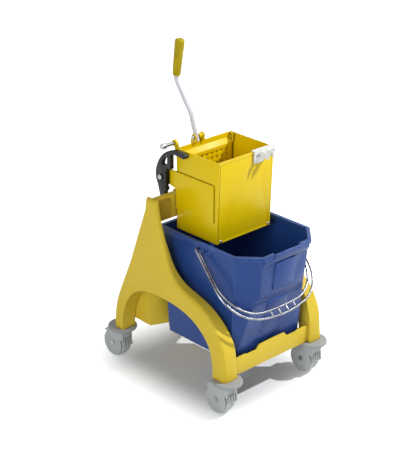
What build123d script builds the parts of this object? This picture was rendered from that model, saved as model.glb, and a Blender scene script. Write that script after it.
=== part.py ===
from build123d import *
from math import cos, radians, sin, sqrt
import os

os.makedirs("parts", exist_ok=True)

# ---- driving sizes, millimetres -------------------------------------------
# Axes: X across, -Y towards the bucket's bail, +Z up, floor at Z = 0.

# casters
caster_x = 162.0
caster_y = 212.0
caster_trail = 25.0
wheel_radius = 40.0
tyre_depth = 8.0
tyre_inner_radius = wheel_radius - tyre_depth
tyre_half_width = 12.5
hub_half_width = 11.0
axle_radius = 4.0
fork_half_width = 17.5
fork_slot_half = 14.5
fork_top = 2 * wheel_radius + 12.5
hood_gap = 3.0
hood_wall = 4.0
hood_inner_radius = wheel_radius + hood_gap
hood_outer_radius = hood_inner_radius + hood_wall
cheek_radius = wheel_radius - 3
disc_radius = 41.0
disc_height = 11.0
disc_bottom = fork_top + 0.5
stem_radius = 5.5
stem_length_in_leg = 36.0

# frame
leg_bottom = disc_bottom + disc_height
panel_outer_x = 186.0
panel_inner_x = 140.0
panel_top_inner_x = 172.0
slope_start_z = 200.0
slope_end_z = 430.0
panel_top = 533.0
skin = 5.0
outline_round = 12.0
beam_front = 55.0
beam_rear = 75.0
beam_bottom = 462.0
beam_top = 528.0
beam_wall = 4.0
box_rear = 188.0
box_front = 95.0
box_side_front = 117.0
box_bottom = 126.0
box_top = 300.0
box_wall = 4.0
bar_front = -215.0
bar_back = -211.0
bar_bottom = leg_bottom + 1
ledge_thick = 5.0

# bucket
rim_top = 444.0
bucket_bottom = 133.0
bucket_wall = 3.5
lip_reach = 6.0
lip_height = 10.0
lip_skin = 2.5
ear_outer_x = 139.0
spout_front = -269.0
spout_half = 52.0
centre_panel_half = 36.0
centre_panel_rise = 4.0

# bail
pivot_y = -79.0
pivot_z = 427.0
bail_rest_angle = 42.5
wire_radius = 3.0
pivot_clearance = 0.08
# the bail swings clear of the spout, with a hand's room between its two crowns
spout_room = 36.1
crown_spacing = 20.4
inner_reach = pivot_y - spout_front + spout_room
outer_reach = inner_reach + crown_spacing

# wringer casing
casing_half = 98.0
casing_top = 657.0
casing_bottom = 431.0
casing_rear = 50.0
rear_wall_top = 625.0
front_top_y = -111.5
front_bottom_y = -102.6
sheet = 2.0
plate_thick = 4.5
flange_width = 4.0
corner_gap = 1.4
rail_bottom = 651.0
screw_z = 646.5
seam = 0.3

# jaw, lever and arms
jaw_axis_y = 43.0
jaw_axis_z = 645.0
jaw_gap = 6.0
jaw_half = casing_half - jaw_gap
jaw_bottom = 446.0
jaw_plate_y = 38.0
hinge_pin_radius = 4.0
hinge_clearance = 0.08
lever_x = -27.5
tube_radius = 6.5
tube_wall = 1.5
arm_axis_y = 92.0
arm_axis_z = 570.0
arm_gap = 6.0
arm_inner_x = casing_half + arm_gap
arm_thick = 12.0
arm_bolt_radius = 4.0


def front_y(z):
    """Outer face of the sloping casing front at height z."""
    share = (z - casing_bottom) / (casing_top - casing_bottom)
    return front_bottom_y + share * (front_top_y - front_bottom_y)


def inner_x(z):
    """Sloping inner face of a side panel at height z."""
    share = (z - slope_start_z) / (slope_end_z - slope_start_z)
    return panel_inner_x + share * (panel_top_inner_x - panel_inner_x)


# ---- side panels -----------------------------------------------------------
front_edge = [(-221, 165), (-209, 212), (-168, 266), (-104, 301), (-38, 327), (-9, 362), (8, 414), (26, 468), (38, panel_top)]
rear_edge = [(199, 218), (212, 180), (220.5, leg_bottom)]
arch_edge = [
    (182, leg_bottom), (179, 150), (165, 193), (135, 234), (92, 257), (20, 265),
    (-83, 252), (-140, 221), (-170, 183), (-181, 130), (-183, leg_bottom),
]
rib = 4.0

with BuildSketch(Plane.YZ, mode=Mode.PRIVATE) as panel_face:
    with BuildLine():
        Line((-227, leg_bottom), front_edge[0])
        Spline(*front_edge)
        Polyline(front_edge[-1], (78, panel_top), (84, 498), (148, 330), rear_edge[0])
        Spline(*rear_edge)
        Line(rear_edge[-1], arch_edge[0])
        Spline(*arch_edge)
        Line(arch_edge[-1], (-227, leg_bottom))
    make_face()

# cores in the hidden inner side: an outline parted by ribs
pocket_outline = [
    (-146, 240), (-150, 261), (-90, 291), (-32, 312), (-6, 338), (19, 402), (31, 440), (95, 440),
    (128, 362), (128, 310), (106, 310), (106, 266), (20, 274), (-83, 261),
]

with BuildSketch(Plane.YZ, mode=Mode.PRIVATE) as pocket_face:
    with BuildLine():
        Polyline(*pocket_outline, close=True)
    make_face()
    for rib_y in (-110, -55, 0, 55):
        with Locations((rib_y, 340)):
            Rectangle(rib, 300, mode=Mode.SUBTRACT)
    for rib_z in (310, 372):
        with Locations((0, rib_z)):
            Rectangle(500, rib, mode=Mode.SUBTRACT)

with BuildPart() as side_panel:
    extrude(panel_face.sketch, amount=panel_outer_x, dir=(1, 0, 0))
    outline_edges = side_panel.faces().sort_by(Axis.X)[-1].edges().filter_by(lambda e: e.center().Z > leg_bottom + 1)
    arch_curve = max(outline_edges, key=lambda e: e.length)
    fillet([e for e in outline_edges if e is not arch_curve], radius=outline_round)
    with BuildSketch(Plane.XZ):
        with BuildLine():
            Polyline(
                (-1, 0), (panel_inner_x, 0), (panel_inner_x, slope_start_z),
                (panel_top_inner_x, slope_end_z), (panel_top_inner_x, 600), (-1, 600), close=True,
            )
        make_face()
    extrude(amount=300, both=True, mode=Mode.SUBTRACT)
    extrude(pocket_face.sketch, amount=panel_outer_x - skin, dir=(1, 0, 0), mode=Mode.SUBTRACT)
    with Locations((caster_x, -caster_y, leg_bottom), (caster_x, caster_y, leg_bottom)):
        Cylinder(stem_radius, stem_length_in_leg, align=(Align.CENTER, Align.CENTER, Align.MIN), mode=Mode.SUBTRACT)
side_panel.part.label = "side_panel_right"
export_step(side_panel.part, "parts/side_panel_right.step")

with BuildPart() as side_panel_left:
    add(mirror(side_panel.part, about=Plane.YZ))
side_panel_left.part.label = "side_panel_left"
export_step(side_panel_left.part, "parts/side_panel_left.step")
print("side panels", round(side_panel.part.volume / 1000), "cm3 each")

# ---- rear crossbar, its covers, the lower rear box and the front crossbar ----
with BuildPart() as rear_crossbar:
    with Locations((0, (beam_front + beam_rear) / 2, (beam_bottom + beam_top) / 2)):
        Box(2 * panel_top_inner_x, beam_rear - beam_front, beam_top - beam_bottom)
    long_edges = rear_crossbar.edges().filter_by(Axis.X)
    fillet(long_edges, radius=2)
    # cores open to the rear, parted by upright webs
    core_height = beam_top - beam_bottom - 2 * beam_wall
    with BuildSketch(Plane.XZ.offset(-beam_rear)):
        for core_x in (26.5, 77, 146):
            with Locations((-core_x, (beam_bottom + beam_top) / 2), (core_x, (beam_bottom + beam_top) / 2)):
                Rectangle(44, core_height)
    extrude(amount=beam_rear - beam_front - beam_wall, mode=Mode.SUBTRACT)
rear_crossbar.part.label = "rear_crossbar"
export_step(rear_crossbar.part, "parts/rear_crossbar.step")

cover_x = 140.0
cover_width = 46.0
cover_height = 56.0
cover_thick = 3.0
cover_rim = 3.5
cover_sink = 1.8
for side, sign in (("left", -1), ("right", 1)):
    with BuildPart() as cover:
        with BuildSketch(Plane.XZ.offset(-beam_front)):
            with Locations((sign * cover_x, (beam_bottom + beam_top) / 2)):
                RectangleRounded(cover_width, cover_height, 8)
        extrude(amount=cover_thick)
        with BuildSketch(Plane.XZ.offset(cover_thick - beam_front)):
            with Locations((sign * cover_x, (beam_bottom + beam_top) / 2)):
                RectangleRounded(cover_width - 2 * cover_rim, cover_height - 2 * cover_rim, 5)
        extrude(amount=-cover_sink, mode=Mode.SUBTRACT)
    cover.part.label = f"crossbar_cover_{side}"
    export_step(cover.part, f"parts/crossbar_cover_{side}.step")

box_plan = [
    (-panel_inner_x, box_rear), (-panel_inner_x, box_side_front), (-89, box_front),
    (89, box_front), (panel_inner_x, box_side_front), (panel_inner_x, box_rear),
]
tab_low = 262.0
with BuildPart() as lower_box:
    with BuildSketch(Plane.XY.offset(box_bottom)):
        Polygon(*box_plan, align=None)
    extrude(amount=box_top - box_bottom)
    # open underneath, with two stiffening webs
    with BuildSketch(Plane.XY.offset(box_bottom)):
        Polygon(*box_plan, align=None)
        offset(amount=-box_wall, kind=Kind.INTERSECTION, mode=Mode.REPLACE)
        with Locations((-45, 130), (45, 130)):
            Rectangle(box_wall, 120, mode=Mode.SUBTRACT)
    extrude(amount=box_top - box_bottom - box_wall, mode=Mode.SUBTRACT)
    # ears that meet the sloping inner faces of the side panels
    for sign in (-1, 1):
        with BuildSketch(Plane.XZ.offset(-156)):
            with BuildLine():
                Polyline(
                    (sign * (panel_inner_x - 1), tab_low), (sign * inner_x(tab_low), tab_low),
                    (sign * inner_x(box_top), box_top), (sign * (panel_inner_x - 1), box_top), close=True,
                )
            make_face()
        extrude(amount=38)
    # shelf under the rear of the bucket
    with Locations((0, (20 + box_front) / 2 + 1, bucket_bottom - 2)):
        Box(160, box_front - 20 + 2, 4)
lower_box.part.label = "lower_rear_box"
export_step(lower_box.part, "parts/lower_rear_box.step")

bar_side_top = 156.0
bar_outline = [
    (-panel_inner_x, bar_bottom), (panel_inner_x, bar_bottom), (panel_inner_x, bar_side_top), (98, bar_side_top),
    (90, bar_side_top - 3), (58, bar_side_top - 3), (47, bar_side_top + 10), (-47, bar_side_top + 10),
    (-58, bar_side_top - 3), (-90, bar_side_top - 3), (-98, bar_side_top), (-panel_inner_x, bar_side_top),
]
with BuildPart() as front_crossbar:
    with BuildSketch(Plane.XZ.offset(-bar_back)):
        Polygon(*bar_outline, align=None)
    extrude(amount=bar_back - bar_front)
    # ledge that carries the front of the bucket, with gussets below
    with Locations((0, bar_back + 17.5, bucket_bottom - ledge_thick / 2)):
        Box(2 * panel_inner_x, 35, ledge_thick)
    for gusset_x in (-96, -32, 32, 96):
        with BuildSketch(Plane.YZ.offset(gusset_x - 2)):
            with BuildLine():
                Polyline((bar_back - 1, 108), (bar_back + 8, 108), (bar_back + 32, 129), (bar_back - 1, 129), close=True)
            make_face()
        extrude(amount=4)
front_crossbar.part.label = "front_crossbar"
export_step(front_crossbar.part, "parts/front_crossbar.step")

# ---- bucket -----------------------------------------------------------------
# height, half width, rear, front, where the corner facet starts, half width of the front
bucket_sections = [
    (bucket_bottom, 126.5, 53.0, -194.0, -188.0, 117.0),
    (304.0, 132.0, 60.0, -234.0, -200.0, 92.0),
    (322.0, 132.6, 61.0, -246.0, -202.0, 80.0),
    (rim_top, 134.5, 72.0, -259.0, -206.0, 84.0),
]
front_lean = (259.0 - 246.0) / (rim_top - 322.0)


def bucket_plan(section, grow):
    """Six-sided plan of the bucket, moved outwards by grow."""
    height, half, rear, front, corner, front_half = section
    return [
        (-half - grow, rear + grow), (half + grow, rear + grow), (half + grow, corner - grow * 0.42),
        (front_half + grow * 0.42, front - grow), (-front_half - grow * 0.42, front - grow),
        (-half - grow, corner - grow * 0.42),
    ]


with BuildPart() as bucket:
    for section in bucket_sections:
        with BuildSketch(Plane.XY.offset(section[0])):
            Polygon(*bucket_plan(section, 0), align=None)
    loft(ruled=True)
    # hollow lip turned down around the rim
    with BuildSketch(Plane.XY.offset(rim_top - lip_height)):
        Polygon(*bucket_plan(bucket_sections[-1], lip_reach), align=None)
    extrude(amount=lip_height)
    with BuildSketch(Plane.XY.offset(rim_top - lip_height)):
        Polygon(*bucket_plan(bucket_sections[-1], lip_reach - lip_skin), align=None)
        Polygon(*bucket_plan(bucket_sections[-1], 0.3), align=None, mode=Mode.SUBTRACT)
    extrude(amount=lip_height - lip_skin, mode=Mode.SUBTRACT)
    # shoulder under the front of the lip, and the pouring lip on it
    with BuildSketch(Plane.YZ.offset(-80)):
        with BuildLine():
            Polyline((-250, 411), (-256, 411), (-265, 426), (-265, rim_top), (-250, rim_top), close=True)
        make_face()
    extrude(amount=160)
    with BuildSketch(Plane.YZ.offset(-spout_half)):
        with BuildLine():
            Polyline((-250, 420), (-262, 420), (spout_front, 432), (spout_front, rim_top), (-250, rim_top), close=True)
        make_face()
    extrude(amount=2 * spout_half)
    spout_corners = bucket.edges().filter_by(Axis.Z).filter_by_position(Axis.Y, spout_front - 0.1, spout_front + 0.1)
    chamfer(spout_corners, length=3)
    # ears for the bail, below the lip
    for sign in (-1, 1):
        with BuildSketch(Plane.YZ.offset(sign * 132)):
            with BuildLine():
                Polyline((-58, 436), (-64, 416), (-76, 409), (-90, 409), (-122, 424), (-122, 436), close=True)
            make_face()
        extrude(amount=sign * (ear_outer_x - 132))
        with BuildSketch(Plane.YZ.offset(sign * ear_outer_x)):
            with BuildLine():
                Polyline((-98, 433), (-98, 419), (-118, 427.5), (-118, 433), close=True)
            make_face()
        extrude(amount=-sign * 3.5, mode=Mode.SUBTRACT)
    # inside
    for section in bucket_sections:
        inset = 0 if section[0] > bucket_bottom else bucket_wall
        with BuildSketch(Plane.XY.offset(section[0] + inset)):
            Polygon(*bucket_plan(section, -bucket_wall), align=None)
    loft(ruled=True, mode=Mode.SUBTRACT)
    with BuildSketch(Plane.YZ.offset(4 - spout_half)):
        with BuildLine():
            Polyline(
                (-250, 424), (-255, 424), (spout_front + 3.5, 436), (spout_front + 3.5, rim_top + 1), (-250, rim_top + 1),
                close=True,
            )
        make_face()
    extrude(amount=2 * spout_half - 8, mode=Mode.SUBTRACT)
    # raised panel down the middle of the front
    upper_low_y = -246.0 - front_lean * (332 - 322)
    upper_high_y = -246.0 - front_lean * (412 - 322)
    lower_lean = (234.0 - 194.0) / (304 - bucket_bottom)
    lower_low_y = -194.0 - lower_lean * (176 - bucket_bottom)
    lower_high_y = -194.0 - lower_lean * (296 - bucket_bottom)
    with BuildSketch(Plane.YZ.offset(-centre_panel_half)):
        with BuildLine():
            Polyline(
                (upper_low_y + 1, 332), (upper_low_y, 332), (upper_low_y - centre_panel_rise, 336),
                (upper_high_y - centre_panel_rise, 412), (upper_high_y + 1, 412), close=True,
            )
        make_face()
        with BuildLine():
            Polyline(
                (lower_low_y + 1, 176), (lower_low_y, 176), (lower_low_y - 2, 180),
                (lower_high_y - 2, 292), (lower_high_y, 296), (lower_high_y + 1, 296), close=True,
            )
        make_face()
    extrude(amount=2 * centre_panel_half)
    # notch along the rear bottom edge
    with BuildSketch(Plane.YZ.offset(-150)):
        with BuildLine():
            Polyline((51.3, 132), (56, 132), (56, 150), (53.8, 150), (52.4, 143), (51.3, 139), close=True)
        make_face()
    extrude(amount=300, mode=Mode.SUBTRACT)
    # bail holes
    with BuildSketch(Plane.YZ.offset(-200)):
        with Locations((pivot_y, pivot_z)):
            Circle(wire_radius + pivot_clearance)
    extrude(amount=400, mode=Mode.SUBTRACT)
bucket.part.label = "bucket"
export_step(bucket.part, "parts/bucket.step")
print("bucket wall volume", round(bucket.part.volume / 1000), "cm3")

# ---- bail ---------------------------------------------------------------------
bail_angle = radians(bail_rest_angle)
bail_plane = Plane(
    origin=(0, pivot_y, pivot_z), x_dir=(1, 0, 0), z_dir=(0, sin(bail_angle), -cos(bail_angle)),
)
bend = 5.0
bail_end_x = 129.5
rung_radius = 2.4


def turned(heading, start, end):
    """Direction in which an arc arrives at its end when it leaves its start along heading."""
    chord = Vector(*end) - Vector(*start)
    return chord * (2 * heading.dot(chord) / chord.dot(chord)) - heading


def bail_loop(foot, stops, reach):
    """Arcs of a bail wire from the left leg over the crown to the right leg, each going on from the one before."""
    heading = Vector(*stops[0]) - Vector(*foot)
    bends = []
    for start, end in zip(stops, stops[1:]):
        TangentArc(start, end, tangent=heading)
        heading = turned(heading, start, end)
        bends.append((start, end, heading))
    ThreePointArc(stops[-1], (0, reach), (-stops[-1][0], stops[-1][1]))
    for start, end, heading in reversed(bends):
        TangentArc((-end[0], end[1]), (-start[0], start[1]), tangent=Vector(heading.X, -heading.Y))


def crown_at(reach, shoulder, x):
    """Distance from the pivot axis to a bail wire's crown at width x."""
    sag = reach - shoulder[1]
    radius = (shoulder[0] ** 2 + sag**2) / (2 * sag)
    return reach - radius + sqrt(radius**2 - x**2)


# outer wire: in through the bucket's ears, up two legs and round a shallow crown
outer_foot = (-150.2, 0)
outer_stops = [(-162.5, outer_reach - 124.5), (-81.7, outer_reach - 9.6)]
with BuildLine() as outer_path:
    FilletPolyline((-bail_end_x, 0), outer_foot, outer_stops[0], radius=bend)
    bail_loop(outer_foot, outer_stops, outer_reach)
    FilletPolyline((-outer_stops[0][0], outer_stops[0][1]), (-outer_foot[0], 0), (bail_end_x, 0), radius=bend)
with BuildPart() as bail_outer:
    with BuildSketch(Plane(origin=bail_plane.from_local_coords((-bail_end_x, 0, 0)), z_dir=(-1, 0, 0))):
        Circle(wire_radius)
    sweep(path=bail_plane.location * outer_path.line)
bail_outer.part.label = "bail_outer_wire"
export_step(bail_outer.part, "parts/bail_outer_wire.step")

# inner wire: beside the outer one along the legs, a finger's width inside it at the crown
inner_foot = (-145.2, 14)
inner_stops = [(-154.3, inner_reach - 122.1), (-133, inner_reach - 43.1), (-61, inner_reach - 2.6)]
with BuildLine() as inner_path:
    Line(inner_foot, inner_stops[0])
    bail_loop(inner_foot, inner_stops, inner_reach)
    Line((-inner_stops[0][0], inner_stops[0][1]), (-inner_foot[0], inner_foot[1]))
with BuildPart() as bail_inner:
    leg_start = bail_plane.from_local_coords((*inner_foot, 0))
    leg_end = bail_plane.from_local_coords((*inner_stops[0], 0))
    with BuildSketch(Plane(origin=leg_start, z_dir=leg_end - leg_start)):
        Circle(wire_radius)
    sweep(path=bail_plane.location * inner_path.line)
bail_inner.part.label = "bail_inner_wire"
export_step(bail_inner.part, "parts/bail_inner_wire.step")

rung_x = (-42.0, -14.0, 14.0, 42.0)
rung_gap = 0.15
with BuildPart() as bail_rungs:
    for x in rung_x:
        low = crown_at(inner_reach, inner_stops[-1], x) + wire_radius + rung_gap
        high = crown_at(outer_reach, outer_stops[-1], x) - wire_radius - rung_gap
        with BuildSketch(Plane(origin=bail_plane.from_local_coords((x, low, 0)), z_dir=bail_plane.y_dir)):
            Circle(rung_radius)
        extrude(amount=high - low)
bail_rungs.part.label = "bail_rungs"
export_step(bail_rungs.part, "parts/bail_rungs.step")

# ---- casters --------------------------------------------------------------------
for end, sign_y in (("front", -1), ("rear", 1)):
    for side, sign_x in (("left", -1), ("right", 1)):
        name = f"{end}_{side}"
        cx = sign_x * caster_x
        cy = sign_y * caster_y
        wheel_y = cy + caster_trail
        axle_end = fork_half_width

        with BuildPart() as disc:
            with Locations((cx, cy, disc_bottom)):
                Cylinder(disc_radius, leg_bottom - disc_bottom, align=(Align.CENTER, Align.CENTER, Align.MIN))
            fillet(disc.edges().filter_by(GeomType.CIRCLE).group_by(Axis.Z)[-1], radius=5)
            fillet(disc.edges().filter_by(GeomType.CIRCLE).group_by(Axis.Z)[0], radius=3)
            with Locations((cx, cy, disc_bottom)):
                Cylinder(stem_radius, 30, mode=Mode.SUBTRACT)
        disc.part.label = f"bumper_disc_{name}"
        export_step(disc.part, f"parts/bumper_disc_{name}.step")

        with BuildPart() as stem:
            with Locations((cx, cy, fork_top - 14)):
                Cylinder(stem_radius, leg_bottom + stem_length_in_leg - fork_top + 14, align=(Align.CENTER, Align.CENTER, Align.MIN))
            chamfer(stem.edges().group_by(Axis.Z)[-1], length=1.5)
        stem.part.label = f"caster_stem_{name}"
        export_step(stem.part, f"parts/caster_stem_{name}.step")

        with BuildPart() as fork:
            # crown, hood over the wheel and the two cheeks, as one side view
            with BuildSketch(Plane.YZ.offset(cx - fork_half_width)):
                with Locations((wheel_y, wheel_radius)):
                    Circle(hood_outer_radius)
                    Circle(hood_inner_radius, mode=Mode.SUBTRACT)
                # the hood ends ahead of the wheel and behind its top
                with BuildLine():
                    Polyline(
                        (wheel_y - 60, wheel_radius + 2), (wheel_y, wheel_radius + 2),
                        (wheel_y, wheel_radius + 30), (wheel_y + 60, wheel_radius + 30),
                        (wheel_y + 60, -10), (wheel_y - 60, -10), close=True,
                    )
                make_face(mode=Mode.SUBTRACT)
                with BuildLine():
                    Polyline(
                        (cy - 19, fork_top), (cy + 34, fork_top), (wheel_y + 32, wheel_radius + 30),
                        (wheel_y, wheel_radius + 20), (cy - 19, wheel_radius + 20), close=True,
                    )
                make_face()
                with Locations((wheel_y, wheel_radius)):
                    Circle(cheek_radius)
            extrude(amount=2 * fork_half_width)
            # space for the wheel
            with BuildSketch(Plane.YZ.offset(cx - fork_slot_half)):
                with Locations((wheel_y, wheel_radius)):
                    Circle(hood_inner_radius)
            extrude(amount=2 * fork_slot_half, mode=Mode.SUBTRACT)
            # swivel and axle bores
            with Locations((cx, cy, fork_top)):
                Cylinder(stem_radius + 0.1, 28.5, mode=Mode.SUBTRACT)
            with BuildSketch(Plane.YZ.offset(cx - 40)):
                with Locations((wheel_y, wheel_radius)):
                    Circle(axle_radius)
            extrude(amount=80, mode=Mode.SUBTRACT)
            # upright ribs on the front of the hood
            for rib_x in (-12, -4, 4, 12):
                with Locations((cx + rib_x, wheel_y - hood_outer_radius + 0.5, wheel_radius + 17)):
                    Box(2.5, 4, 22)
            with BuildSketch(Plane.YZ.offset(cx - fork_slot_half)):
                with Locations((wheel_y, wheel_radius)):
                    Circle(hood_inner_radius)
            extrude(amount=2 * fork_slot_half, mode=Mode.SUBTRACT)
        fork.part.label = f"caster_fork_{name}"
        export_step(fork.part, f"parts/caster_fork_{name}.step")

        with BuildPart() as axle:
            with BuildSketch(Plane.YZ.offset(cx - axle_end)):
                with Locations((wheel_y, wheel_radius)):
                    Circle(axle_radius)
            extrude(amount=2 * axle_end)
            for head in (-1, 1):
                with BuildSketch(Plane.YZ.offset(cx + head * axle_end)):
                    with Locations((wheel_y, wheel_radius)):
                        Circle(6.5)
                extrude(amount=head * 2.2)
        axle.part.label = f"axle_{name}"
        export_step(axle.part, f"parts/axle_{name}.step")

        with BuildPart() as hub:
            with BuildSketch(Plane.YZ.offset(cx - hub_half_width)):
                with Locations((wheel_y, wheel_radius)):
                    Circle(tyre_inner_radius)
            extrude(amount=2 * hub_half_width)
            # dished sides leave a boss at the axle
            for face in (-1, 1):
                with BuildSketch(Plane.YZ.offset(cx + face * hub_half_width)):
                    with Locations((wheel_y, wheel_radius)):
                        Circle(tyre_inner_radius - 4)
                        Circle(9, mode=Mode.SUBTRACT)
                extrude(amount=-face * 8, mode=Mode.SUBTRACT)
                with BuildSketch(Plane.YZ.offset(cx + face * hub_half_width)):
                    with Locations((wheel_y, wheel_radius)):
                        Circle(9)
                extrude(amount=face * (fork_slot_half - hub_half_width - 0.5))
            with BuildSketch(Plane.YZ.offset(cx - 40)):
                with Locations((wheel_y, wheel_radius)):
                    Circle(axle_radius + 0.1)
            extrude(amount=80, mode=Mode.SUBTRACT)
        hub.part.label = f"wheel_hub_{name}"
        export_step(hub.part, f"parts/wheel_hub_{name}.step")

        with BuildPart() as tyre:
            with BuildSketch(Plane.XY.offset(wheel_radius)):
                with Locations((cx, wheel_y + (wheel_radius + tyre_inner_radius) / 2)):
                    Rectangle(2 * tyre_half_width, wheel_radius - tyre_inner_radius)
                fillet(vertices().group_by(Axis.Y)[-1], radius=4)
            revolve(axis=Axis((cx, wheel_y, wheel_radius), (1, 0, 0)))
        tyre.part.label = f"tyre_{name}"
        export_step(tyre.part, f"parts/tyre_{name}.step")

# ---- wringer casing ---------------------------------------------------------------
ring_y = 53.0
ring_z = 671.0
ring_radius = 9.0
guide_radius = 5.0
rail_depth = 7.0

with BuildPart() as casing:
    # two side walls; the left one turns the front corner by a narrow flange
    for sign in (-1, 1):
        with BuildSketch(Plane.YZ.offset(sign * casing_half)):
            with BuildLine():
                Polyline(
                    (casing_rear, casing_bottom), (casing_rear, casing_top), (front_y(casing_top) + sheet, casing_top),
                    (front_y(casing_bottom) + sheet, casing_bottom), close=True,
                )
            make_face()
        extrude(amount=-sign * sheet)
    with BuildSketch(Plane.YZ.offset(-casing_half)):
        with BuildLine():
            Polyline(
                (front_y(casing_bottom), casing_bottom), (front_y(casing_top), casing_top),
                (front_y(casing_top) + sheet, casing_top), (front_y(casing_bottom) + sheet, casing_bottom), close=True,
            )
        make_face()
    extrude(amount=flange_width)
    # top rail across the front, folded inwards
    with BuildSketch(Plane.YZ.offset(-casing_half)):
        with BuildLine():
            Polyline(
                (front_y(rail_bottom), rail_bottom), (front_y(casing_top), casing_top),
                (front_y(casing_top) + rail_depth, casing_top), (front_y(casing_top) + rail_depth, casing_top - sheet),
                (front_y(casing_top - sheet) + sheet, casing_top - sheet), (front_y(rail_bottom) + sheet, rail_bottom),
                close=True,
            )
        make_face()
    extrude(amount=2 * casing_half)
    # floor with drain holes
    floor_length = casing_rear - front_y(casing_bottom) - sheet
    with Locations((0, (casing_rear + front_y(casing_bottom) + sheet) / 2, casing_bottom + sheet / 2)):
        Box(2 * casing_half, floor_length, sheet)
    with Locations((-casing_half + flange_width / 2, front_y(casing_bottom) + sheet, casing_bottom + sheet / 2)):
        Box(flange_width, sheet, sheet)
    with BuildSketch(Plane.XY.offset(casing_bottom)):
        with Locations((0, casing_rear - floor_length / 2)):
            with GridLocations(34, 34, 5, 4):
                SlotOverall(22, 9)
    extrude(amount=sheet, mode=Mode.SUBTRACT)
    # rear wall, cut low to leave room for the jaw's hinge
    with Locations((0, casing_rear - sheet / 2, (casing_bottom + rear_wall_top) / 2)):
        Box(2 * casing_half, sheet, rear_wall_top - casing_bottom)
    # ring lug on the left wall
    with BuildSketch(Plane.YZ.offset(-casing_half)):
        with BuildLine():
            Polyline(
                (casing_rear, 640), (ring_y + ring_radius, ring_z - 6), (ring_y + ring_radius, ring_z),
                (ring_y - ring_radius, ring_z), (38, casing_top), (38, 640), close=True,
            )
        make_face()
    extrude(amount=sheet)
    with BuildSketch(Plane.YZ.offset(-casing_half - 5)):
        with Locations((ring_y, ring_z)):
            Circle(ring_radius)
    extrude(amount=5 + sheet)
    with BuildSketch(Plane.YZ.offset(-casing_half - 5)):
        with Locations((ring_y, ring_z)):
            Circle(guide_radius)
    extrude(amount=5 + sheet, mode=Mode.SUBTRACT)
    # holes for the jaw's hinge pins
    with BuildSketch(Plane.YZ.offset(-casing_half)):
        with Locations((jaw_axis_y, jaw_axis_z)):
            Circle(hinge_pin_radius)
    extrude(amount=2 * casing_half, mode=Mode.SUBTRACT)
casing.part.label = "wringer_casing"
export_step(casing.part, "parts/wringer_casing.step")

clip_screw_x = (casing_half - 64, casing_half - 8)
front_rivet_x = (14 - casing_half, casing_half - 6)
front_rivet_z = casing_bottom + 6
with BuildPart() as front_panel:
    with BuildSketch(Plane.YZ.offset(-casing_half + flange_width + corner_gap)):
        with BuildLine():
            Polyline(
                (front_y(casing_bottom), casing_bottom), (front_y(rail_bottom - seam), rail_bottom - seam),
                (front_y(rail_bottom - seam) + sheet, rail_bottom - seam),
                (front_y(casing_bottom) + sheet, casing_bottom), close=True,
            )
        make_face()
    extrude(amount=2 * casing_half - flange_width - corner_gap)
    # pierced for the clip screws and the bottom rivets
    with BuildSketch(Plane.XZ.offset(120)):
        with Locations(*[(x, screw_z) for x in clip_screw_x]):
            Circle(2)
        with Locations(*[(x, front_rivet_z) for x in front_rivet_x]):
            Circle(2)
    extrude(amount=-30, mode=Mode.SUBTRACT)
front_panel.part.label = "wringer_front_panel"
export_step(front_panel.part, "parts/wringer_front_panel.step")

with BuildPart() as rivets:
    for rivet_x in front_rivet_x:
        face_y = front_y(front_rivet_z)
        with BuildSketch(Plane.XZ.offset(-face_y - 3)):
            with Locations((rivet_x, front_rivet_z)):
                Circle(2)
        extrude(amount=3.4)
        with BuildSketch(Plane.XZ.offset(-face_y + 0.4)):
            with Locations((rivet_x, front_rivet_z)):
                Circle(4)
        extrude(amount=1.8, taper=35)
rivets.part.label = "front_panel_rivets"
export_step(rivets.part, "parts/front_panel_rivets.step")

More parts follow.
